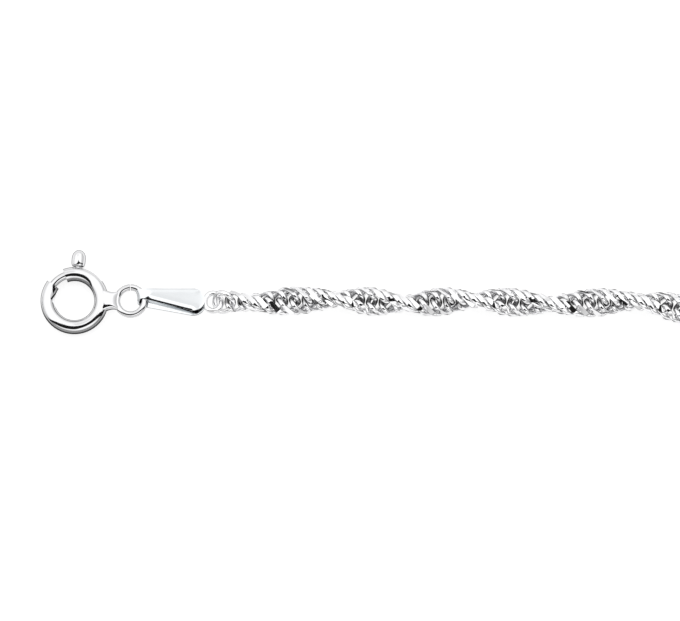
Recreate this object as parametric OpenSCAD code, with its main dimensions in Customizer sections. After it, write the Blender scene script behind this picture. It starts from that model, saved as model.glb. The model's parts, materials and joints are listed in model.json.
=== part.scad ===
// Silver singapore chain necklace with a spring ring clasp, lying unfastened on a flat surface.
// Millimetres. Z is up and the surface is Z = 0. The origin lies on the surface, under the
// middle of the loop. The clasp lies at the back of the loop and the chain leaves it along +X.

/* [Chain] */
// Length from the far edge of the spring ring to the far edge of the end ring
necklace_len = 450; // [400:1:500]
// Width of the twisted chain where it looks widest
chain_w = 2.5; // [2:0.1:3]
// Thickness of the wire that the links are made of
link_wire = 0.46; // [0.3:0.02:0.5]
// Space between the chain and the edge of the tag that holds it
chain_gap = 0.1; // [0.05:0.05:0.4]

/* [Spring ring] */
// Outer diameter of the spring ring
ring_od = 6; // [5.5:0.1:8]
// Outer diameter of the ring's bent tube
tube_d = 1.25; // [1.15:0.05:1.4]
// Diameter of the bolt that slides inside the tube
bolt_d = 0.65; // [0.5:0.05:0.75]
// Running gap around the bolt and around its stem
bolt_gap = 0.05; // [0.02:0.01:0.08]
// Angle at which the mouth starts, counted from the chain's side
mouth_from = 111; // [105:1:115]
// Angle at which the mouth ends
mouth_to = 144; // [140:1:148]
// Angle of the bolt's tip when the ring is shut
bolt_tip = 150; // [149:1:153]
// Angle of the bolt's inner end when the ring is shut
bolt_tail = 20; // [10:1:40]
// How far the bolt turns when the ring is opened
bolt_travel = 42; // [42:1:46]
// Depth of the notch in the ring's inner wall
notch_depth = 0.34; // [0.2:0.01:0.4]
// How far the notch reaches below the middle of the tube
notch_drop = 0.1; // [0:0.02:0.2]
// Angle at which the notch starts
notch_from = 147; // [146:1:150]
// Angle at which the notch is deepest
notch_apex = 177; // [170:1:185]
// Angle at which the notch ends
notch_to = 214; // [205:1:220]

/* [Trigger] */
// Angle of the trigger when the ring is shut
trigger_at = 85; // [80:1:88]
// Diameter of the trigger's ball
knob_d = 1.24; // [1:0.02:1.24]
// Distance of the ball's centre from the middle of the ring tube
knob_reach = 1.48; // [1.4:0.02:1.8]
// Diameter of the stem that passes through the tube's slot
stem_d = 0.5; // [0.4:0.05:0.6]
// Diameter of the collar that rides on the tube
collar_d = 0.94; // [0.8:0.02:1]
// Diameter of the waist between the collar and the ball
trigger_waist_d = 0.74; // [0.6:0.02:0.8]
// Height of the collar up to that waist
collar_h = 0.3; // [0.2:0.05:0.4]

/* [Small loop] */
// Outer diameter of the loop that is soldered to the ring
loop_od = 2.98; // [2.8:0.02:3.4]
// Thickness of the loop's wire
loop_wire = 0.56; // [0.5:0.02:0.62]
// Length of solder between the ring and the loop
solder_len = 0.46; // [0.3:0.02:0.6]
// Height of the solder where it is thinnest
solder_d = 0.96; // [0.8:0.02:1.1]
// Height of the solder where it meets the ring
solder_foot_d = 1.2; // [1.1:0.02:1.24]
// Width of the solder from side to side where it is thinnest
solder_w = 1.44; // [1:0.02:1.5]
// Width of the open seam in the loop
seam_w = 0.08; // [0.05:0.01:0.15]
// Angle of the seam around the loop
seam_at = 92; // [80:1:100]

/* [Tags] */
// Thickness of the folded strip
strip_t = 0.18; // [0.15:0.01:0.25]
// Length of a tag from its fold's middle to its round end
tag_len = 5.46; // [5:0.02:6.5]
// Width of the strip at the fold
fold_w = 0.82; // [0.7:0.02:1]
// Width of the strip at its round end
tag_w = 2.05; // [1.8:0.05:2.4]
// Play of a wire inside a fold, and of the chain's wire between the leaves
fold_gap = 0.04; // [0.02:0.01:0.06]
// Height of the middle of the clasp's tag above the surface at its round end
tag_end_z = 0.95; // [0.9:0.05:1.1]
// Place of the fold on the small loop, counted from the chain's side
hook_at = 8; // [0:1:12]
// Turn of the clasp's tag to the side
tag_yaw = -4.5; // [-6:0.5:0]

/* [End ring] */
// Outer diameter of the closed ring that the clasp hooks into
end_ring_od = 4; // [3.6:0.1:4.6]
// Thickness of its wire
end_ring_wire = 0.7; // [0.6:0.05:0.75]
// Distance between the middles of the two rings while the necklace lies open
open_gap = 9.5; // [8:0.5:12]

/* [Lie of the chain] */
// Straight run of the chain, counted from the middle of the spring ring
front_run = 48; // [30:1:55]
// Straight run on the other side of the clasp
back_run = 22; // [20:1:30]
// Radius of the bend on each side of the straight runs
shoulder_r = 30; // [20:1:35]
// Turn of that bend
shoulder_turn = 78; // [70:1:85]
// Turn of the gentle curve that follows it
side_turn = 14; // [5:1:18]

/* [Hidden] */

RING_FN = 96;
WIRE_FN = 48;
ARC_STEPS = 24;
TUBE_SIDES = 8;
RING_PITCH = 6.2;
OVERCUT = 0.5;
// How far the solder's end stays below the face of the loop's wire
SUNK = 0.03;
SILVER = [0.90, 0.90, 0.91];
SILVER_SHADE = [0.80, 0.81, 0.83];

// The clasp
ring_r = (ring_od - tube_d) / 2;
bore_d = bolt_d + 2 * bolt_gap;
loop_r = (loop_od - loop_wire) / 2;
loop_x = ring_od / 2 + solder_len + loop_od / 2;
clasp_z = max(tube_d, knob_d, loop_wire + 2 * (fold_gap + strip_t)) / 2;
slot_w = stem_d + 2 * bolt_gap;
slot_side = atan(slot_w / 2 / ring_r);
hook = [loop_x + loop_r * cos(hook_at), loop_r * sin(hook_at)];

// A fold around a bent wire sits a little inside the bend, so that its edges clear the wire.
function fold_shift(bend_r, wire, skew) =
    let (half = fold_w / 2, slant = abs(skew) + asin(half / bend_r))
    bend_r - sqrt(pow(bend_r, 2) - pow(half, 2)) + half * tan(abs(skew))
    + wire / 2 * (1 / cos(slant) - 1) + fold_gap;
clasp_fold_shift = fold_shift(loop_r, loop_wire, hook_at - tag_yaw);

// The end ring leans from its fold down to the surface.
end_r = (end_ring_od - end_ring_wire) / 2;
end_fold_shift = fold_shift(end_r, end_ring_wire, 0);
end_fold_z = end_ring_wire / 2 + fold_gap + strip_t;
end_lean = asin((end_fold_z - end_ring_wire / 2) / (2 * end_r));

// The way round: a straight back, two shoulders, two gentle sides and one round front.
// The sides take up the length, and the front closes the loop.
loop_len = necklace_len - ring_od / 2 - end_ring_od / 2 + open_gap;
back_len = front_run + back_run;
bottom_turn = 180 - shoulder_turn - side_turn;
shoulder_len = shoulder_r * shoulder_turn * PI / 180;
side_slope = (sin(shoulder_turn + side_turn) - sin(shoulder_turn)) / (side_turn * PI / 180);
bottom_share = bottom_turn * PI / 180 / sin(shoulder_turn + side_turn);
bottom_len_fixed = bottom_share * (back_len / 2 + shoulder_r * sin(shoulder_turn));
side_len = (loop_len / 2 - back_len / 2 - shoulder_len - bottom_len_fixed)
    / (1 + bottom_share * side_slope);
bottom_len = bottom_len_fixed + bottom_share * side_slope * side_len;

// Each section is a length and the clockwise turn made along it.
SECTIONS = [
    [front_run, 0],
    [shoulder_len, shoulder_turn],
    [side_len, side_turn],
    [2 * bottom_len, 2 * bottom_turn],
    [side_len, side_turn],
    [shoulder_len, shoulder_turn],
    [back_run, 0]
];

// A place on the way is [x, y, heading, distance].
function step_on(place, dist, turn) =
    turn == 0
    ? [place[0] + dist * cos(place[2]), place[1] + dist * sin(place[2]), place[2], place[3] + dist]
    : let (bend = dist / (turn * PI / 180), end = place[2] - turn)
      [place[0] + bend * (sin(place[2]) - sin(end)),
       place[1] + bend * (cos(end) - cos(place[2])),
       end,
       place[3] + dist];

STARTS = [
    for (i = 0, place = [0, 0, 0, 0];
         i < len(SECTIONS);
         place = step_on(place, SECTIONS[i][0], SECTIONS[i][1]), i = i + 1)
    place
];

function section_at(dist) = max([for (i = [0:len(SECTIONS) - 1]) if (i == 0 || STARTS[i][3] <= dist) i]);

function place_at(dist) =
    let (i = section_at(dist), into = dist - STARTS[i][3])
    step_on(STARTS[i], into, SECTIONS[i][1] * into / SECTIONS[i][0]);

// Where things lie along the way
tag_end_x = hook[0] + (tag_len - clasp_fold_shift) * cos(tag_yaw);
chain_from = tag_end_x + chain_gap;
end_ring_at = loop_len - open_gap;
chain_to = end_ring_at - end_r + end_fold_shift - tag_len - chain_gap;
chain_rings = ceil((chain_to - chain_from) / RING_PITCH);
CHAIN_PLACES = [
    for (i = [0:chain_rings]) place_at(chain_from + (chain_to - chain_from) * i / chain_rings)
];

// The origin is under the middle of the whole necklace.
xs = [for (p = CHAIN_PLACES) p[0]];
ys = [for (p = CHAIN_PLACES) p[1]];
knob_top = (ring_r + knob_reach) * sin(trigger_at) + knob_d / 2;
box_low = [min(xs) - chain_w / 2, min(ys) - chain_w / 2];
box_high = [max(xs) + chain_w / 2, max(max(ys) + chain_w / 2, knob_top)];
middle = (box_low + box_high) / 2;

module in_place() {
    translate([-middle[0], -middle[1], 0]) children();
}

module at_end() {
    place = place_at(end_ring_at);
    in_place() translate([place[0], place[1], 0]) rotate(place[2]) children();
}

// A round wire bent to a circle
module bent_wire(bend_r, wire, from, to) {
    rotate_extrude(angle = to - from, start = from, $fn = RING_FN)
        translate([bend_r, 0]) circle(d = wire, $fn = WIRE_FN);
}

module whole_ring(bend_r, wire) {
    rotate_extrude($fn = RING_FN) translate([bend_r, 0]) circle(d = wire, $fn = WIRE_FN);
}

// The solder that joins the loop to the ring has a waist and ends inside the loop's wire.
module solder_neck() {
    inside = ring_r;
    waist = ring_od / 2 + 0.75 * solder_len;
    outside = ring_od / 2 + solder_len + loop_wire / 2;
    scale([1, solder_w / solder_d, 1]) {
        translate([inside, 0, 0]) rotate([0, 90, 0])
            cylinder(h = waist - inside, d1 = solder_foot_d, d2 = solder_d, $fn = WIRE_FN);
        translate([waist, 0, 0]) rotate([0, 90, 0])
            cylinder(h = outside - waist, d1 = solder_d, d2 = loop_wire - 2 * SUNK, $fn = WIRE_FN);
    }
}

// The long slot in the outer wall that the trigger's stem slides along
module trigger_slot() {
    rotate_extrude(angle = bolt_travel + 2 * slot_side, start = trigger_at - bolt_travel - slot_side,
                   $fn = RING_FN)
        translate([ring_r, -slot_w / 2]) square([tube_d / 2 + OVERCUT, slot_w]);
}

// The open place in the upper half of the inner wall, where the hollow of the tube shows
module inner_notch() {
    rim_r = ring_r - tube_d / 2;
    inner = rim_r - OVERCUT;
    translate([0, 0, -notch_drop]) linear_extrude(tube_d)
        polygon([
            [inner * cos(notch_from), inner * sin(notch_from)],
            [rim_r * cos(notch_from), rim_r * sin(notch_from)],
            [(rim_r + notch_depth) * cos(notch_apex), (rim_r + notch_depth) * sin(notch_apex)],
            [rim_r * cos(notch_to), rim_r * sin(notch_to)],
            [inner * cos(notch_to), inner * sin(notch_to)]
        ]);
}

module loop_seam() {
    translate([loop_x, 0, 0]) rotate(seam_at)
        translate([loop_r, 0, 0]) cube([2 * loop_wire, seam_w, 2 * loop_wire], center = true);
}

// The tube of the spring ring, its solder and the small loop are one piece of metal.
module clasp_case() {
    color(SILVER)
        in_place() translate([0, 0, clasp_z])
            difference() {
                union() {
                    bent_wire(ring_r, tube_d, mouth_to, mouth_from + 360);
                    solder_neck();
                    translate([loop_x, 0, 0]) whole_ring(loop_r, loop_wire);
                }
                whole_ring(ring_r, bore_d);
                trigger_slot();
                inner_notch();
                loop_seam();
            }
}

// The bolt with its trigger. The spring behind it is hidden in the tube.
module clasp_bolt() {
    collar_at = ring_r + tube_d / 2 + bolt_gap;
    color(SILVER_SHADE)
        in_place() translate([0, 0, clasp_z]) {
            bent_wire(ring_r, bolt_d, bolt_tail, bolt_tip);
            rotate(trigger_at) {
                translate([ring_r, 0, 0]) rotate([0, 90, 0])
                    cylinder(h = knob_reach, d = stem_d, $fn = WIRE_FN);
                translate([collar_at, 0, 0]) rotate([0, 90, 0])
                    cylinder(h = collar_h, d1 = collar_d, d2 = trigger_waist_d, $fn = WIRE_FN);
                translate([collar_at + collar_h, 0, 0]) rotate([0, 90, 0])
                    cylinder(h = ring_r + knob_reach - collar_at - collar_h, d = trigger_waist_d,
                             $fn = WIRE_FN);
                translate([ring_r + knob_reach, 0, 0]) sphere(d = knob_d, $fn = WIRE_FN);
            }
        }
}

// Points of an arc around the origin
function arc(r, from, to) = [
    for (i = [0:ARC_STEPS]) let (a = from + (to - from) * i / ARC_STEPS) r * [cos(a), sin(a)]
];

// A tag's outline from above: narrow at the fold, with a round end
module tag_outline() {
    round_r = tag_w / 2;
    round_x = tag_len - round_r;
    lean = asin((round_r - fold_w / 2) / round_x);
    polygon(concat(
        [[0, fold_w / 2], [-fold_w, fold_w / 2], [-fold_w, -fold_w / 2], [0, -fold_w / 2]],
        [for (p = arc(round_r, -90 - lean, 90 + lean)) p + [round_x, 0]]
    ));
}

// A folded strip from the side. Its fold goes round a wire, and its leaves close on the chain.
module tag_side(wire) {
    inner = wire / 2 + fold_gap;
    outer = inner + strip_t;
    closing = asin((inner - link_wire / 2 - fold_gap) / tag_len);
    up = [sin(closing), cos(closing)];
    down = [sin(closing), -cos(closing)];
    above = [cos(closing), -sin(closing)] * (tag_len + OVERCUT);
    below = [above[0], -above[1]];
    polygon(concat(
        arc(outer, 90 - closing, 270 + closing),
        [down * outer + below, down * inner + below],
        arc(inner, 270 + closing, 90 - closing),
        [up * inner + above, up * outer + above]
    ));
}

module folded_tag(wire) {
    intersection() {
        rotate([90, 0, 0])
            translate([0, 0, -tag_w]) linear_extrude(2 * tag_w) tag_side(wire);
        translate([0, 0, -tag_w]) linear_extrude(2 * tag_w) tag_outline();
    }
}

module clasp_tag() {
    rise = asin((tag_end_z - clasp_z) / tag_len);
    color(SILVER)
        in_place() translate([hook[0], hook[1], clasp_z])
            rotate([0, -rise, tag_yaw]) translate([-clasp_fold_shift, 0, 0]) folded_tag(loop_wire);
}

// The chain as a plain tube with flat sides, a flat one below, swept along the way
module chain() {
    corner_r = chain_w / 2 / cos(180 / TUBE_SIDES);
    points = [
        for (p = CHAIN_PLACES)
            for (k = [0:TUBE_SIDES - 1])
                let (turn = 360 * (k + 0.5) / TUBE_SIDES, out = corner_r * cos(turn))
                [p[0] - out * sin(p[2]), p[1] + out * cos(p[2]), chain_w / 2 + corner_r * sin(turn)]
    ];
    last = chain_rings * TUBE_SIDES;
    faces = concat(
        [[for (k = [0:TUBE_SIDES - 1]) k]],
        [[for (k = [TUBE_SIDES - 1:-1:0]) last + k]],
        [
            for (i = [0:chain_rings - 1])
                for (k = [0:TUBE_SIDES - 1])
                    let (a = i * TUBE_SIDES, next = (k + 1) % TUBE_SIDES)
                    [a + k, a + TUBE_SIDES + k, a + TUBE_SIDES + next, a + next]
        ]
    );
    color(SILVER) in_place() polyhedron(points, faces);
}

module end_tag() {
    rise = asin((tag_end_z - end_fold_z) / tag_len);
    color(SILVER)
        at_end() translate([-end_r, 0, end_fold_z + end_fold_shift * sin(rise)])
            rotate([0, -rise, 180]) translate([-end_fold_shift, 0, 0]) folded_tag(end_ring_wire);
}

// The closed ring at the far end leans from its fold to the surface.
module end_ring() {
    color(SILVER)
        at_end() translate([-end_r, 0, end_fold_z]) rotate([0, end_lean, 0])
            translate([end_r, 0, 0]) whole_ring(end_r, end_ring_wire);
}

clasp_case();
clasp_bolt();
clasp_tag();
chain();
end_tag();
end_ring();
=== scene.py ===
# Silver singapore chain necklace with a spring ring clasp, lying unfastened on a pale floor.
import json
import math

import bpy
import numpy as np
from mathutils import Matrix, Vector


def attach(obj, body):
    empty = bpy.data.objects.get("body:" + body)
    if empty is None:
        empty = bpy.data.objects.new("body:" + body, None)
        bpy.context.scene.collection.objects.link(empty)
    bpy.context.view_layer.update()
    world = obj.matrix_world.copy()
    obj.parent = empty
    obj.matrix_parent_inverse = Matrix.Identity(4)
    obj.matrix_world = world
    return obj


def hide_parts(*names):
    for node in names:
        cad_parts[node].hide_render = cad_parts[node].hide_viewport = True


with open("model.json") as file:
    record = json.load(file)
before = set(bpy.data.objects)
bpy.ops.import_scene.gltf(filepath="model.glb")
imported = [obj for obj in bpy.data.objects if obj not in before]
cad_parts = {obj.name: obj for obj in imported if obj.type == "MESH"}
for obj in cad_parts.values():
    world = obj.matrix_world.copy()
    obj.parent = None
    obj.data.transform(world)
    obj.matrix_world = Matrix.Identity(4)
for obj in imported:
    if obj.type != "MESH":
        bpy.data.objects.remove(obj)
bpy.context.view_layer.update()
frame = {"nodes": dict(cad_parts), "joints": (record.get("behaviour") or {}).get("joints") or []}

MM = 0.001

# The clasp's sizes
RING_CENTRE = Vector(frame["joints"][0]["pos_m"])
RING_OD = 6.0 * MM
TUBE_D = 1.25 * MM
RING_R = (RING_OD - TUBE_D) / 2
BOLT_D = 0.65 * MM
BORE_R = 0.4 * MM
BOLT_FROM = 20
BOLT_TO = 150
TRIGGER_AT = 85
LOOP_OD = 2.98 * MM
LOOP_WIRE = 0.56 * MM
LOOP_R = (LOOP_OD - LOOP_WIRE) / 2
SOLDER_LEN = 0.46 * MM
SEAM_AT = 92
LOOP_X = RING_OD / 2 + SOLDER_LEN + LOOP_OD / 2
SEAM_X = LOOP_X + LOOP_R * math.cos(math.radians(SEAM_AT))
END_RING_OD = 4.0 * MM
END_RING_WIRE = 0.7 * MM
END_RING_R = (END_RING_OD - END_RING_WIRE) / 2

# The tags' sizes
STRIP_T = 0.18 * MM
STRIP_BEVEL = 0.07 * MM
FOLD_GAP = 0.06 * MM
LEAF_GAP = 0.02 * MM
TAG_LEN = 5.46 * MM
FOLD_W = 0.82 * MM
TAG_W = 2.05 * MM
TAG_END_Z = 0.95 * MM
FOLD_SHARE = 0.22
NECK_LEN = 2.2 * MM
EDGE_SLOPE = 0.8
EDGE_WIDTH = 0.9 * MM
FAR_EDGE = 0.4
FLAT_TIP = 0.6 * MM
EDGE_FADE = 0.4 * MM
END_CROWN = 0.01 * MM

# How the clasp's tag hangs in the small loop, and how far the leaves of each tag roll
HOOK_AT = 13
TAG_YAW = -5.0
TAG_SKEW = 10
TAG_BACK = 0.06 * MM
TAG_SPREAD = 0.28 * MM
TAG_ROLL = 15.6
LOWER_ROLL = 3
END_TAG_ROLL = -7

# The way of the chain, from the middle of the spring ring
NECKLACE_LEN = 450 * MM
OPEN_GAP = 9.5 * MM
FRONT_RUN = 48 * MM
BACK_RUN = 22 * MM
SHOULDER_R = 30 * MM
SHOULDER_TURN = 78
SIDE_TURN = 14

# The links
LINK_WIRE = 0.46 * MM
LINK_PITCH = 1.13 * MM
CHAIN_H = 1.28 * MM
LINK_LONG = 1.44 * MM
LINK_HIGH = 1.08 * MM
LINK_TWIST = 183
LINK_WAVE = 0.26 * MM
LINK_ROLL = 50
LINK_SLANT = 5
LINK_TILT = -6
LINK_SHIFT = 0.08 * MM
LINK_LIFT = -0.06 * MM
CUT_MERGE = 0.001 * MM

# Flats of the diamond cut: angle round the link from its wide way, and distance from the middle line
LINK_CUTS = [
    (0, 1.23 * MM),
    (180, 1.23 * MM),
    (-31, 1.23 * MM),
    (-149, 1.23 * MM),
    (30, 1.21 * MM),
    (150, 1.21 * MM),
    (-68, 1.02 * MM),
    (-112, 1.02 * MM),
    (51, 0.86 * MM),
    (129, 0.86 * MM),
]

# Distances at which the photographed stretch stands on edge, and half a turn after the last of them
EDGE_ON = [8.4 * MM, 15.1 * MM, 22.8 * MM, 28.9 * MM, 34.9 * MM, 41.6 * MM, 49.3 * MM]
HALF_TURN_LEN = 7.05 * MM
EDGE_ON_PHASE = 40.0
FINE_UNTIL = 58 * MM

# The round link in each tag and the plain oval after it, as distances from the round link
FIRST_LINK_AT = 12.24 * MM
LAST_LINK_PAST_TAG = 0.6 * MM
OVAL_LINK_ON = 0.967 * MM
TWISTED_LINKS_ON = 2.69 * MM
CLIMB_LEN = 3.2 * MM

# The camera stands nearly over the clasp end of the chain
VIEW_W = 60.0 * MM
VIEW_FROM_RING = Vector((23.435, -0.737, 0.0)) * MM
CAMERA_TILT = 9
CAMERA_ROLL = 0.35
CAMERA_DIST = 0.5
SENSOR_W = 36.0
CLIP_NEAR = 0.01
CLIP_FAR = 10

# The studio: a dome that is brightest overhead, a panel behind, and a floor that is lit from below
WORLD_LIGHT = 1.4
HORIZON_LIGHT = 0.85
PANEL_LIGHT = 1.04
FLOOR_GLOW = 0.8
FLOOR_GREY = 0.35
FLOOR_SIZE = 8

# The dark wedge round the camera: where its point lies, the slope and the curve of its two sides,
# and how its end is cut off. Lengths are those of a direction's three parts.
WEDGE_POINT = (0.047, 0.325)
WEDGE_RIGHT = (1.1, 2.5)
WEDGE_LEFT = (0.35, 1.0)
WEDGE_END = (0.53, 0.57)
WEDGE_CORNER = 1.1
WEDGE_RIM = 0.03
WEDGE_DARK = 0.99
FRONT_DARK = 0.6
RIGHT_DARK = 0.3

# The silver: sizes of its clouds and wiping marks, how dark its painted shade is, and the colour of
# the painted shade in the ring's bore and of the loop's seam
CLOUD_SCALE = 900.0
MARK_SCALE = 9000.0
MARK_DEPTH = 0.01 * MM
CLOUD_SHADE = 0.94
PAINTED_SHADE_SHARE = 0.15
BORE_SHADE_AND_SEAM_COLOUR = (0.06, 0.06, 0.065, 1.0)
RIM_TINT = (0.08, 0.08, 0.08, 1)


def select_only(piece):
    bpy.ops.object.select_all(action="DESELECT")
    piece.select_set(True)
    bpy.context.view_layer.objects.active = piece


def active_piece(name):
    piece = bpy.context.active_object
    piece.name = name
    piece.data.name = name
    return piece


def read_points(piece):
    flat = np.empty(3 * len(piece.data.vertices))
    piece.data.vertices.foreach_get("co", flat)
    return flat.reshape(-1, 3)


def write_points(piece, points):
    piece.data.vertices.foreach_set("co", np.ascontiguousarray(points).ravel())
    piece.data.update()


def turned(points, axis, degrees):
    """Points turned about one of the three axes, each by its own angle or all by one."""
    angle = np.radians(degrees)
    c, s = np.cos(angle), np.sin(angle)
    first, second = [(1, 2), (2, 0), (0, 1)][axis]
    out = points.copy()
    out[:, first] = c * points[:, first] - s * points[:, second]
    out[:, second] = s * points[:, first] + c * points[:, second]
    return out


def ease(share):
    """A smooth step from 0 to 1."""
    share = np.clip(share, 0, 1)
    return share * share * (3 - 2 * share)


def face_outwards(piece):
    """Turns the faces of a closed mesh outwards."""
    select_only(piece)
    bpy.ops.object.mode_set(mode="EDIT")
    bpy.ops.mesh.select_all(action="SELECT")
    bpy.ops.mesh.normals_make_consistent(inside=False)
    bpy.ops.object.mode_set(mode="OBJECT")


def lathe(name, rows, sides):
    """A round piece on the Z axis from rows of height, half width and half depth."""
    height, wide, deep = rows[0]
    bpy.ops.object.select_all(action="DESELECT")
    bpy.ops.mesh.primitive_circle_add(vertices=sides, radius=1, location=(0, 0, 0), fill_type="NGON")
    piece = active_piece(name)
    piece.data.transform(Matrix.Diagonal((wide, deep, 1, 1)))
    piece.data.transform(Matrix.Translation((0, 0, height)))
    bpy.ops.object.mode_set(mode="EDIT")
    bpy.ops.mesh.select_all(action="SELECT")
    for row in rows[1:]:
        rise = row[0] - height
        bpy.ops.mesh.extrude_region_move(TRANSFORM_OT_translate={"value": (0, 0, rise)})
        bpy.ops.transform.resize(value=(row[1] / wide, row[2] / deep, 1))
        height, wide, deep = row
    bpy.ops.object.mode_set(mode="OBJECT")
    face_outwards(piece)
    return piece


def apply_modifier(piece, kind, **settings):
    select_only(piece)
    modifier = piece.modifiers.new(kind.lower(), kind)
    for name, value in settings.items():
        setattr(modifier, name, value)
    bpy.ops.object.modifier_apply(modifier=modifier.name)


def smooth(piece, angle=35):
    select_only(piece)
    bpy.ops.object.shade_smooth_by_angle(angle=math.radians(angle))


def join(pieces, name):
    bpy.ops.object.select_all(action="DESELECT")
    for piece in pieces:
        piece.select_set(True)
    bpy.context.view_layer.objects.active = pieces[0]
    bpy.ops.object.join()
    return active_piece(name)


# Shader arithmetic
class Value:
    """A shader number that takes part in sums as a Python number does."""

    def __init__(self, shader, socket):
        self.shader = shader
        self.socket = socket

    def combine(self, operation, first, second):
        node = self.shader.node("ShaderNodeMath", {"operation": operation}, {0: first, 1: second})
        return Value(self.shader, node.outputs[0])

    def __add__(self, other):
        return self.combine("ADD", self, other)

    def __radd__(self, other):
        return self.combine("ADD", other, self)

    def __sub__(self, other):
        return self.combine("SUBTRACT", self, other)

    def __rsub__(self, other):
        return self.combine("SUBTRACT", other, self)

    def __mul__(self, other):
        return self.combine("MULTIPLY", self, other)

    def __rmul__(self, other):
        return self.combine("MULTIPLY", other, self)

    def __truediv__(self, other):
        return self.combine("DIVIDE", self, other)

    def __rtruediv__(self, other):
        return self.combine("DIVIDE", other, self)

    def __abs__(self):
        return self.combine("ABSOLUTE", self, 0.0)

    def root(self):
        return self.combine("SQRT", self, 0.0)

    def rise(self, low, high):
        """0 below low, 1 above high, and a smooth step between them."""
        node = self.shader.node(
            "ShaderNodeMapRange",
            {"interpolation_type": "SMOOTHSTEP"},
            {"Value": self, "From Min": low, "From Max": high},
        )
        return Value(self.shader, node.outputs["Result"])


class Shader:
    """The node tree of a material or of the world."""

    def __init__(self, tree):
        self.tree = tree

    def node(self, kind, settings=None, sockets=None):
        made = self.tree.nodes.new(kind)
        for name, value in (settings or {}).items():
            setattr(made, name, value)
        for name, value in (sockets or {}).items():
            if isinstance(value, Value):
                value = value.socket
            if isinstance(value, bpy.types.NodeSocket):
                self.tree.links.new(value, made.inputs[name])
            else:
                made.inputs[name].default_value = value
        return made

    def noise(self, place, scale, detail):
        sockets = {"Vector": place, "Scale": scale, "Detail": detail}
        return Value(self, self.node("ShaderNodeTexNoise", {}, sockets).outputs["Fac"])

    def mix(self, share, first, second):
        """The first colour, and as much of the second as share says."""
        sockets = {"Factor": share, "A": first, "B": second}
        return self.node("ShaderNodeMix", {"data_type": "RGBA"}, sockets).outputs["Result"]

    def parts(self, place):
        """X, Y and Z of a place or a direction."""
        split = self.node("ShaderNodeSeparateXYZ", {}, {"Vector": place})
        return [Value(self, split.outputs[i]) for i in range(3)]


def shade_of(tint, share):
    return tuple(share * part for part in tint) + (1.0,)


def polished_silver(name, tint, rough, grain, painted_shade=None, recesses=None):
    """Bright silver, faintly uneven, with fine wiping marks. It is darker where shade is painted on it
    and at the loop's seam.
    """
    material = bpy.data.materials.new(name)
    material.use_nodes = True
    shader = Shader(material.node_tree)
    surface = material.node_tree.nodes["Principled BSDF"]
    place = shader.node("ShaderNodeTexCoord").outputs["Object"]
    cloud = shader.noise(place, CLOUD_SCALE, 3.0)
    marks = shader.noise(place, MARK_SCALE, 4.0)
    colour = shader.mix(cloud, shade_of(tint, 1.0), shade_of(tint, CLOUD_SHADE))
    roughness = rough * (0.7 + 0.6 * cloud)
    if painted_shade:
        # Painted shade: the given mask darkens the silver towards a dark tint.
        colour = shader.mix(painted_shade(shader, place), colour, shade_of(tint, PAINTED_SHADE_SHARE))
    # Painted shade on the wall of the ring's bore, and the dark seam of the loop.
    if recesses:
        bore_shade_and_seam = recesses(shader, place)
        colour = shader.mix(bore_shade_and_seam, colour, BORE_SHADE_AND_SEAM_COLOUR)
        roughness = roughness + 0.4 * bore_shade_and_seam
    sockets = {"Strength": grain, "Distance": MARK_DEPTH, "Height": marks}
    bump = shader.node("ShaderNodeBump", {}, sockets)
    links = material.node_tree.links
    links.new(colour, surface.inputs["Base Color"])
    links.new(roughness.socket, surface.inputs["Roughness"])
    links.new(bump.outputs["Normal"], surface.inputs["Normal"])
    surface.inputs["Metallic"].default_value = 1.0
    surface.inputs["Specular Tint"].default_value = RIM_TINT
    return material


def from_ring(shader, place):
    """X, Y and Z from the middle of the spring ring, and the distance from its axis."""
    x, y, z = (part - middle for part, middle in zip(shader.parts(place), RING_CENTRE))
    return x, y, z, (x * x + y * y).root()


def bolt_painted_shade(shader, place):
    """Painted shade: 1 low on the bolt inside the ring, and 0 on its top and on the trigger."""
    z, outward = from_ring(shader, place)[2:]
    trigger = outward.rise(RING_OD / 2 - 0.2 * MM, RING_OD / 2 - 0.1 * MM)
    return (1.0 - z.rise(0.0, 0.3 * MM)) * (1.0 - trigger)


def link_painted_recess_shade(shader, place):
    """Painted shade: 1 where a link lies near the chain's line, between the other links, and 0 on the
    outside.
    """
    attribute = shader.node("ShaderNodeAttribute", {"attribute_name": "depth"})
    depth = Value(shader, attribute.outputs["Fac"])
    return 0.9 * (1.0 - depth.rise(0.25 * MM, 0.55 * MM))


def clasp_painted_front_shade(shader, place):
    """Painted shade: 1 low on the ring's tube where it faces the front, and 0 on its top, its back and
    the loop. It stands in for the shadowed floor that the tube mirrors.
    """
    x, y, z, outward = from_ring(shader, place)
    low = 1.0 - (z / (TUBE_D / 2)).rise(0.45, 0.85)
    across = (outward - RING_R) / (TUBE_D / 2)
    front = (0.0 - across * y / outward).rise(-0.1, 0.6)
    return low * front * (1.0 - outward.rise(RING_OD / 2, RING_OD / 2 + 0.15 * MM))


def clasp_bore_shade_and_seam(shader, place):
    """1 on the wall of the ring's bore, a painted shade, and in the loop's seam, a dark joint."""
    x, y, z, outward = from_ring(shader, place)
    from_tube = outward - RING_R
    from_bore = (from_tube * from_tube + z * z).root()
    bore = 1.0 - from_bore.rise(BORE_R - 0.015 * MM, BORE_R + 0.04 * MM)
    seam = (1.0 - abs(x - SEAM_X).rise(0.03 * MM, 0.06 * MM)) * y.rise(0.6 * MM, 0.7 * MM)
    return bore + seam


def give(piece, material):
    piece.data.materials.clear()
    piece.data.materials.append(material)


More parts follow.
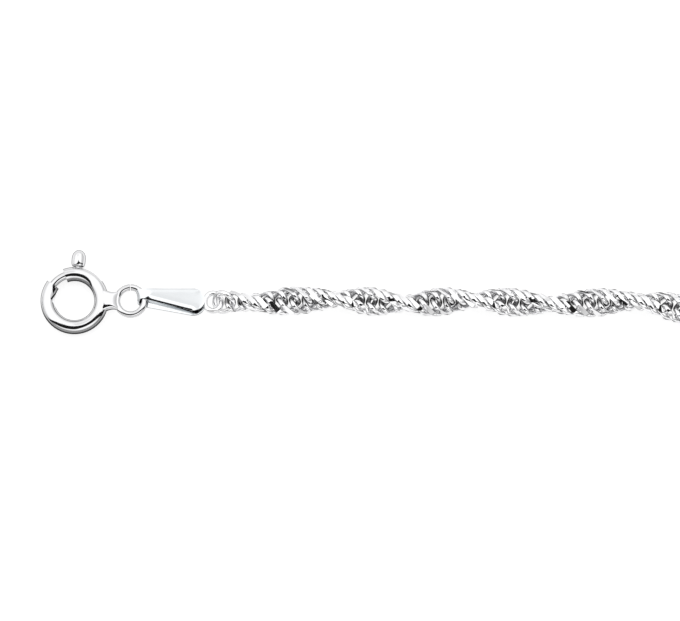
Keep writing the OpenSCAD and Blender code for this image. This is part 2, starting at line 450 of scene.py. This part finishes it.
# The camera and the studio
def make_camera():
    target = RING_CENTRE + VIEW_FROM_RING
    bpy.ops.object.camera_add()
    camera = active_piece("camera")
    camera.data.sensor_width = SENSOR_W
    camera.data.lens = SENSOR_W * CAMERA_DIST / VIEW_W
    tilt = Matrix.Rotation(math.radians(CAMERA_TILT), 3, "X")
    roll = Matrix.Rotation(math.radians(CAMERA_ROLL), 3, "Z")
    camera.location = target + tilt @ Vector((0, 0, CAMERA_DIST))
    camera.rotation_euler = (tilt @ roll).to_euler()
    camera.data.clip_start = CLIP_NEAR
    camera.data.clip_end = CLIP_FAR
    bpy.context.scene.camera = camera


def make_world():
    """A white dome, dimmer at its rim, with a dark wedge that the silver mirrors as black lines."""
    world = bpy.data.worlds.new("studio")
    bpy.context.scene.world = world
    world.use_nodes = True
    shader = Shader(world.node_tree)
    background = world.node_tree.nodes["Background"]
    background.inputs["Color"].default_value = (1, 1, 1, 1)
    direction = shader.node("ShaderNodeTexCoord").outputs["Generated"]
    x, y, z = shader.parts(direction)
    tilt = math.radians(CAMERA_TILT)
    front = -math.cos(tilt) * y - math.sin(tilt) * z
    over = math.cos(tilt) * z - math.sin(tilt) * y

    on = front + WEDGE_POINT[1]
    side = x + WEDGE_POINT[0]
    right = (x + abs(x)) / 2.0
    wedge = on.rise(0.0, 0.02)
    wedge = wedge * (on * (WEDGE_RIGHT[0] + WEDGE_RIGHT[1] * on) - side).rise(0.0, WEDGE_RIM)
    wedge = wedge * (on * (WEDGE_LEFT[0] + WEDGE_LEFT[1] * on) + side).rise(0.0, WEDGE_RIM)
    wedge = wedge * (1.0 - (front + right * (WEDGE_CORNER - right)).rise(*WEDGE_END))

    low_front = front.rise(0.2, 0.45) * (1.0 - z.rise(0.1, 0.6))
    panel = (0.0 - front).rise(0.42, 0.56) * over.rise(0.4, 0.6)
    panel = panel * (1.0 - x.rise(-0.08, 0.0)) * x.rise(-0.45, -0.3)
    dome = HORIZON_LIGHT + (WORLD_LIGHT - HORIZON_LIGHT) * z.rise(0.0, 0.9)
    dome = dome * (1.0 - RIGHT_DARK * x.rise(0.5, 0.85))
    light = dome * (1.0 - WEDGE_DARK * wedge) * (1.0 - FRONT_DARK * low_front)
    light = light * (1.0 - panel) + PANEL_LIGHT * panel
    world.node_tree.links.new(light.socket, background.inputs["Strength"])


def make_floor():
    """A pale plate that is lit from below as well, so that hardly a shadow shows."""
    bpy.ops.object.select_all(action="DESELECT")
    bpy.ops.mesh.primitive_plane_add(size=FLOOR_SIZE)
    floor = active_piece("floor")
    material = bpy.data.materials.new("floor_white")
    material.use_nodes = True
    surface = material.node_tree.nodes["Principled BSDF"]
    surface.inputs["Base Color"].default_value = (FLOOR_GREY, FLOOR_GREY, FLOOR_GREY, 1)
    surface.inputs["Roughness"].default_value = 0.9
    surface.inputs["Specular IOR Level"].default_value = 0.0
    surface.inputs["Emission Color"].default_value = (1, 1, 1, 1)
    surface.inputs["Emission Strength"].default_value = FLOOR_GLOW
    floor.data.materials.append(material)


# The chain's way
def way_sections():
    """Lengths and clockwise turns of the sections. The sides take up what is left of the length."""
    loop_len = NECKLACE_LEN - RING_OD / 2 - END_RING_OD / 2 + OPEN_GAP
    half_back = (FRONT_RUN + BACK_RUN) / 2
    shoulder, outer = math.radians(SHOULDER_TURN), math.radians(SHOULDER_TURN + SIDE_TURN)
    shoulder_len = SHOULDER_R * shoulder
    slope = (math.sin(outer) - math.sin(shoulder)) / math.radians(SIDE_TURN)
    share = (math.pi - outer) / math.sin(outer)
    fixed = share * (half_back + SHOULDER_R * math.sin(shoulder))
    side_len = (loop_len / 2 - half_back - shoulder_len - fixed) / (1 + share * slope)
    front_len = fixed + share * slope * side_len
    front_turn = 180 - SHOULDER_TURN - SIDE_TURN
    return loop_len, [
        (FRONT_RUN, 0),
        (shoulder_len, SHOULDER_TURN),
        (side_len, SIDE_TURN),
        (2 * front_len, 2 * front_turn),
        (side_len, SIDE_TURN),
        (shoulder_len, SHOULDER_TURN),
        (BACK_RUN, 0),
    ]


LOOP_LEN, SECTIONS = way_sections()
LAST_LINK_AT = LOOP_LEN - OPEN_GAP - END_RING_R - TAG_LEN - LAST_LINK_PAST_TAG


def place_at(dist):
    """Place and heading at a distance along the way, in the part's frame."""
    x, y, heading = RING_CENTRE.x, RING_CENTRE.y, 0.0
    left = dist
    for length, turn in SECTIONS:
        step = min(left, length)
        if turn == 0:
            x += step * math.cos(heading)
            y += step * math.sin(heading)
        else:
            bend = length / math.radians(turn)
            end = heading - step / bend
            x += bend * (math.sin(heading) - math.sin(end))
            y += bend * (math.cos(end) - math.cos(heading))
            heading = end
        left -= step
        if left <= 0:
            break
    return x, y, heading


# The links
def link_curve(long, high, twist=0, wave=0, roll=0, slant=0, tilt=0, y=0, z=0):
    """The middle line of a link round the X axis: a twisted oval that is waved, turned and moved."""

    def curve(u):
        x = long * np.cos(u)
        points = np.stack([x, high * np.sin(u), wave * np.cos(2 * u)], 1)
        points = turned(points, 0, twist * x / long / 2)
        points = turned(points, 0, roll)
        points = turned(points, 2, slant)
        points = turned(points, 1, tilt)
        return points + np.array([0, y, z])

    return curve


def wire_along(curve, piece):
    """Lays the skin of a torus of radius 1 along a closed curve, as a link's wire."""
    points = read_points(piece)
    u = np.arctan2(points[:, 1], points[:, 0])
    v = np.arctan2(points[:, 2], np.hypot(points[:, 0], points[:, 1]) - 1)
    step = 0.01
    middle = curve(u)
    tangent = curve(u + step) - curve(u - step)
    tangent /= np.linalg.norm(tangent, axis=1)[:, None]
    out = middle - curve(np.linspace(0, 2 * math.pi, 64, endpoint=False)).mean(0)
    out -= (out * tangent).sum(1)[:, None] * tangent
    out /= np.linalg.norm(out, axis=1)[:, None]
    side = np.cross(tangent, out)
    skin = np.cos(v)[:, None] * out + np.sin(v)[:, None] * side
    write_points(piece, middle + LINK_WIRE / 2 * skin)


def make_link(name, curve, rounds, sides):
    bpy.ops.object.select_all(action="DESELECT")
    bpy.ops.mesh.primitive_torus_add(
        major_radius=1, minor_radius=0.25, major_segments=rounds, minor_segments=sides
    )
    link = active_piece(name)
    wire_along(curve, link)
    return link


def mark_depth(link, depths):
    """Keeps how far from the chain's line each point lies, for the silver's painted shade."""
    attribute = link.data.attributes.new("depth", "FLOAT", "POINT")
    attribute.data.foreach_set("value", depths)


def make_cut_link(name, rounds, sides):
    """A twisted link with the flats of the diamond cut, round the X axis."""
    curve = link_curve(
        LINK_LONG,
        LINK_HIGH,
        twist=LINK_TWIST,
        wave=LINK_WAVE,
        roll=LINK_ROLL,
        slant=LINK_SLANT,
        tilt=LINK_TILT,
        y=LINK_SHIFT,
        z=LINK_LIFT,
    )
    link = make_link(name, curve, rounds, sides)
    select_only(link)
    bpy.ops.object.mode_set(mode="EDIT")
    for angle, reach in LINK_CUTS:
        turn = math.radians(LINK_ROLL + angle)
        way = Vector((0, math.cos(turn), math.sin(turn)))
        bpy.ops.mesh.select_all(action="SELECT")
        bpy.ops.mesh.bisect(
            plane_co=reach * way, plane_no=way, use_fill=True, clear_outer=True, threshold=CUT_MERGE
        )

    # The flats are split into triangles first, so that turning them changes no shading.
    bpy.ops.mesh.select_all(action="DESELECT")
    bpy.ops.mesh.select_face_by_sides(number=4, type="GREATER")
    bpy.ops.mesh.quads_convert_to_tris(ngon_method="CLIP")
    bpy.ops.object.mode_set(mode="OBJECT")
    face_outwards(link)
    points = read_points(link)
    mark_depth(link, np.hypot(points[:, 1], points[:, 2]))
    return link


def turn_at(dist):
    """Turn of the chain about its own line, in degrees. At each half turn it stands on edge."""
    if dist <= EDGE_ON[-1]:
        return 180 * np.interp(dist, EDGE_ON, range(len(EDGE_ON)))
    return 180 * (len(EDGE_ON) - 1 + (dist - EDGE_ON[-1]) / half_turn_len())


def half_turn_len():
    """Length of the far half turns, so that the last link lies in its tag as the first one does."""
    start = EDGE_ON_PHASE + turn_at(FIRST_LINK_AT + TWISTED_LINKS_ON)
    end = -2 * LINK_ROLL - start - EDGE_ON_PHASE
    length = LAST_LINK_AT - TWISTED_LINKS_ON - EDGE_ON[-1]
    known = 180 * (len(EDGE_ON) - 1)
    rounds = round((known + 180 * length / HALF_TURN_LEN - end) / 360)
    return 180 * length / (end + 360 * rounds - known)


def chain_height(dist):
    """The chain rises from the tags to where its edges touch the floor."""
    from_end = min(dist - FIRST_LINK_AT, LAST_LINK_AT - dist)
    return TAG_END_Z + (CHAIN_H - TAG_END_Z) * ease(from_end / CLIMB_LEN)


def lay_links(name, pattern, distances):
    """Copies one link to each distance and joins the copies."""
    copies = []
    for dist in distances:
        x, y, heading = place_at(dist)
        spot = Matrix.Translation((x, y, chain_height(dist)))
        turn = Matrix.Rotation(math.radians(EDGE_ON_PHASE + turn_at(dist)), 4, "X")
        copy = pattern.copy()
        copy.data = pattern.data.copy()
        copy.data.transform(spot @ Matrix.Rotation(heading, 4, "Z") @ turn)
        bpy.context.collection.objects.link(copy)
        copies.append(copy)
    return join(copies, name)


def make_end_links():
    """The round link that each tag holds, and the plain oval that joins it to the twisted links."""
    round_curve = link_curve(0.736 * MM, 0.853 * MM, roll=-TAG_ROLL, y=-0.1 * MM)
    oval_curve = link_curve(
        0.825 * MM,
        0.994 * MM,
        twist=32.6,
        wave=0.087 * MM,
        roll=-134.4,
        slant=-12.1,
        tilt=-1.5,
        y=-0.109 * MM,
        z=0.1 * MM,
    )
    pieces = []
    for name, curve, on in (("round", round_curve, 0), ("oval", oval_curve, OVAL_LINK_ON)):
        link = make_link(name + "_link", curve, rounds=48, sides=14)
        face_outwards(link)
        mark_depth(link, np.full(len(link.data.vertices), MM))
        other = link.copy()
        other.data = link.data.copy()
        bpy.context.collection.objects.link(other)
        for piece, dist, way in ((link, FIRST_LINK_AT + on, 0), (other, LAST_LINK_AT - on, math.pi)):
            x, y, heading = place_at(dist)
            spot = Matrix.Translation((x, y, chain_height(dist)))
            piece.data.transform(spot @ Matrix.Rotation(heading + way, 4, "Z"))
            pieces.append(piece)
    return pieces


# The tags
def leaf_half_width(x):
    round_r = TAG_W / 2
    lean = math.asin((round_r - FOLD_W / 2) / (TAG_LEN - round_r))
    return np.clip(FOLD_W / 2 + np.maximum(x, 0) * math.tan(lean), 0, round_r * math.cos(lean))


def make_tag(name, wire, bend_r, rolls, skew=0, back=0, spread=0):
    """A folded strip round a wire at the origin. Its leaves close along +X and roll to their ends."""
    inner = wire / 2 + FOLD_GAP
    radius = inner + STRIP_T / 2
    closing = math.asin((inner - LINK_WIRE / 2 - LEAF_GAP) / TAG_LEN)
    bpy.ops.object.select_all(action="DESELECT")
    bpy.ops.mesh.primitive_grid_add(x_subdivisions=72, y_subdivisions=20, size=2)
    tag = active_piece(name)
    points = read_points(tag)
    along = points[:, 0]
    across = np.sin(points[:, 1] * math.pi / 2)

    # The strip's middle is the fold. From there on, a leaf runs to each end, with a round tip.
    bent = np.clip(along / FOLD_SHARE, -1, 1) * (math.pi / 2 + closing)
    far = np.clip((np.abs(along) - FOLD_SHARE) / (1 - FOLD_SHARE), 0, 1)
    round_r = TAG_W / 2
    mouth = radius * math.sin(closing)
    half = leaf_half_width(TAG_LEN * far)
    tip = TAG_LEN - round_r + np.sqrt(round_r**2 - np.minimum(np.abs(across) * half, round_r)**2)
    reach = far * (tip - mouth) / math.cos(closing)
    x = -radius * np.cos(bent) + reach * math.cos(closing)
    z = radius * np.sin(bent) - np.sign(bent) * reach * math.sin(closing)
    half = leaf_half_width(x)
    y = across * half

    # The upper leaf's edges curl down, the far one less, and both leaves close at the tip.
    edge = np.clip(1 - (half - np.abs(y)) / EDGE_WIDTH, 0, 1)
    curled = np.clip((TAG_LEN - FLAT_TIP - x) / EDGE_FADE, 0, 1) * np.where(across < 0, 1, FAR_EDGE)
    crown = (along > 0) * EDGE_SLOPE / 4 * EDGE_WIDTH * edge**4 * curled + END_CROWN * far**14
    z = z - np.sign(bent) * crown * np.clip(x / (0.5 * MM), 0, 1)

    # The leaves lie a little apart sideways, and the fold follows the wire's bend.
    apart = 1 - 0.75 * np.clip(x / TAG_LEN, 0, 1)
    y = y + spread * np.sin(np.clip(bent, -math.pi / 2, math.pi / 2)) * apart
    follow = back + math.tan(math.radians(skew)) * y + y * y / (2 * bend_r)
    x = x - ease(1 - x / NECK_LEN) * follow
    roll = np.where(along > 0, *rolls) * ease((x + 0.3 * MM) / (0.9 * MM))
    write_points(tag, turned(np.stack([x, y, z], 1), 0, -roll))
    apply_modifier(tag, "SOLIDIFY", thickness=STRIP_T, offset=0)
    apply_modifier(
        tag, "BEVEL", width=STRIP_BEVEL, segments=3, limit_method="ANGLE", angle_limit=math.radians(50)
    )
    return tag


def finish_tag(tag, material, node):
    smooth(tag, 50)
    give(tag, material)
    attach(tag, "necklace")
    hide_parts(node)


def make_clasp_tag(material):
    at = math.radians(HOOK_AT)
    hook = Vector((LOOP_X + LOOP_R * math.cos(at), LOOP_R * math.sin(at), 0))
    rolls = (TAG_ROLL, LOWER_ROLL)
    tag = make_tag("clasp_tag_folded", LOOP_WIRE, LOOP_R, rolls, TAG_SKEW, TAG_BACK, TAG_SPREAD)
    spot = Matrix.Translation(RING_CENTRE + hook)
    rise = Matrix.Rotation(-math.asin((TAG_END_Z - RING_CENTRE.z) / TAG_LEN), 4, "Y")
    tag.data.transform(spot @ Matrix.Rotation(math.radians(TAG_YAW), 4, "Z") @ rise)
    finish_tag(tag, material, "clasp_tag")


def make_end_tag(material):
    tag = make_tag("end_tag_folded", END_RING_WIRE, END_RING_R, (END_TAG_ROLL, END_TAG_ROLL))
    x, y, heading = place_at(LOOP_LEN - OPEN_GAP)
    fold_z = END_RING_WIRE / 2 + FOLD_GAP + STRIP_T
    end = Matrix.Translation((x, y, fold_z)) @ Matrix.Rotation(heading, 4, "Z")
    rise = Matrix.Rotation(-math.asin((TAG_END_Z - fold_z) / TAG_LEN), 4, "Y")
    turn = Matrix.Rotation(math.pi, 4, "Z")
    tag.data.transform(end @ Matrix.Translation((-END_RING_R, 0, 0)) @ turn @ rise)
    finish_tag(tag, material, "end_tag")


# The clasp
def make_bolt(material):
    """The bent bolt and its egg-shaped trigger, which slides outside the tube."""
    steps = 64
    bolt_len = math.radians(BOLT_TO - BOLT_FROM) * RING_R
    rows = [(0, 0.8 * BOLT_D / 2, 0.8 * BOLT_D / 2)]
    rows += [(0.02 * bolt_len, BOLT_D / 2, BOLT_D / 2)]
    rows += [(bolt_len * i / steps, BOLT_D / 2, BOLT_D / 2) for i in range(2, steps)]
    rows += [(bolt_len, 0.75 * BOLT_D / 2, 0.75 * BOLT_D / 2)]
    bar = lathe("bolt_bar", rows, 32)
    points = read_points(bar)
    angle = math.radians(BOLT_FROM) + points[:, 2] / RING_R
    radius = RING_R + points[:, 0]
    write_points(bar, np.stack([radius * np.cos(angle), radius * np.sin(angle), points[:, 1]], 1))
    face_outwards(bar)

    # The trigger's distance from the bolt's middle and its half width, in mm
    profile = [(0, 0.25), (0.674, 0.25), (0.675, 0.46), (0.70, 0.51), (0.78, 0.56), (0.88, 0.592)]
    profile += [(1.0, 0.61), (1.15, 0.62), (1.38, 0.622), (1.54, 0.612), (1.70, 0.575), (1.85, 0.51)]
    profile += [(1.97, 0.42), (2.06, 0.325), (2.12, 0.22), (2.15, 0.12), (2.16, 0.04)]
    trigger = lathe("trigger", [(h * MM, r * MM, r * MM) for h, r in profile], 40)
    lay = Matrix.Rotation(math.radians(TRIGGER_AT), 4, "Z") @ Matrix.Translation((RING_R, 0, 0))
    trigger.data.transform(lay @ Matrix.Rotation(math.pi / 2, 4, "Y"))
    bolt = join([bar, trigger], "bolt_with_trigger")
    bolt.data.transform(Matrix.Translation(RING_CENTRE))
    smooth(bolt, 40)
    give(bolt, material)
    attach(bolt, "bolt")
    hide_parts("clasp_bolt")


def make_solder(material):
    """The solder between tube and loop, hollowed all round, with the bolt's bore through its foot."""
    # The share of the way from tube to loop, and the half width and half height there, in mm
    shape = [(0, 1.15, 0.61), (0.15, 1.05, 0.61), (0.3, 0.92, 0.60), (0.42, 0.83, 0.58)]
    shape += [(0.54, 0.77, 0.56), (0.65, 0.745, 0.53), (0.76, 0.755, 0.48)]
    shape += [(0.88, 0.81, 0.39), (1.0, 0.88, 0.27)]
    solder = lathe("solder", shape, 48)
    points = read_points(solder)
    t = points[:, 2]
    heights, wide, high = np.array(shape).T
    wide, high = np.interp(t, heights, wide), np.interp(t, heights, high)
    c, s = points[:, 0] / wide, points[:, 1] / high
    y = wide * np.sign(c) * np.abs(c) ** 0.5 * MM
    z = high * np.sign(s) * np.abs(s) ** 0.5 * MM
    from_ring = np.sqrt(RING_R**2 - y**2)
    from_loop = LOOP_X - np.sqrt(LOOP_R**2 - y**2)
    x = (1 - t) * from_ring + t * from_loop
    write_points(solder, np.stack([x, y, z], 1) + np.array(RING_CENTRE))
    apply_modifier(solder, "SUBSURF", levels=1)
    bpy.ops.object.select_all(action="DESELECT")
    bpy.ops.mesh.primitive_torus_add(
        major_radius=RING_R, minor_radius=BORE_R, major_segments=144, minor_segments=32
    )
    bore = active_piece("bore")
    bore.data.transform(Matrix.Translation(RING_CENTRE))
    apply_modifier(solder, "BOOLEAN", operation="DIFFERENCE", object=bore)
    bpy.data.objects.remove(bore)
    smooth(solder, 80)
    give(solder, material)
    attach(solder, "necklace")


def make_chain(material):
    start = FIRST_LINK_AT + TWISTED_LINKS_ON
    end = LAST_LINK_AT - TWISTED_LINKS_ON
    count = round((end - start) / LINK_PITCH) + 1
    distances = [start + (end - start) * i / (count - 1) for i in range(count)]
    near = [d for d in distances if d < FINE_UNTIL]
    far = [d for d in distances if d >= FINE_UNTIL]
    fine = make_cut_link("fine_link", rounds=40, sides=10)
    plain = make_cut_link("plain_link", rounds=12, sides=4)
    first_round, last_round, first_oval, last_oval = make_end_links()
    near_links = lay_links("chain_links_near", fine, near)
    far_links = lay_links("chain_links_far", plain, far)
    pieces = [
        join([near_links, first_round, first_oval], "chain_links_near"),
        join([far_links, last_round, last_oval], "chain_links_far"),
    ]
    bpy.data.objects.remove(fine)
    bpy.data.objects.remove(plain)
    for piece in pieces:
        smooth(piece, 60)
        give(piece, material)
        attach(piece, "necklace")
    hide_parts("chain")
    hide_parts("chain")


make_camera()
make_world()
make_floor()

# Painted shade: low on the ring's front and on its bore's wall, low on the bolt inside the ring, and
# on the links between the others.
ring_silver = polished_silver(
    "ring_silver",
    (0.77, 0.77, 0.78),
    rough=0.06,
    grain=0.03,
    painted_shade=clasp_painted_front_shade,
    recesses=clasp_bore_shade_and_seam,
)
bolt_silver = polished_silver(
    "bolt_silver", (0.82, 0.82, 0.83), rough=0.08, grain=0.05, painted_shade=bolt_painted_shade
)
tag_silver = polished_silver("tag_silver", (0.79, 0.81, 0.825), rough=0.07, grain=0.05)
chain_silver = polished_silver(
    "chain_silver", (0.95, 0.95, 0.96), rough=0.08, grain=0.05, painted_shade=link_painted_recess_shade
)
for node, material in (
    ("clasp_case", ring_silver),
    ("clasp_bolt", bolt_silver),
    ("clasp_tag", tag_silver),
    ("end_tag", tag_silver),
    ("end_ring", ring_silver),
):
    frame["nodes"][node].data.materials[0] = material

make_bolt(bolt_silver)
make_solder(ring_silver)
make_clasp_tag(tag_silver)
make_end_tag(tag_silver)
make_chain(chain_silver)

bpy.context.scene.view_settings.view_transform = "Standard"
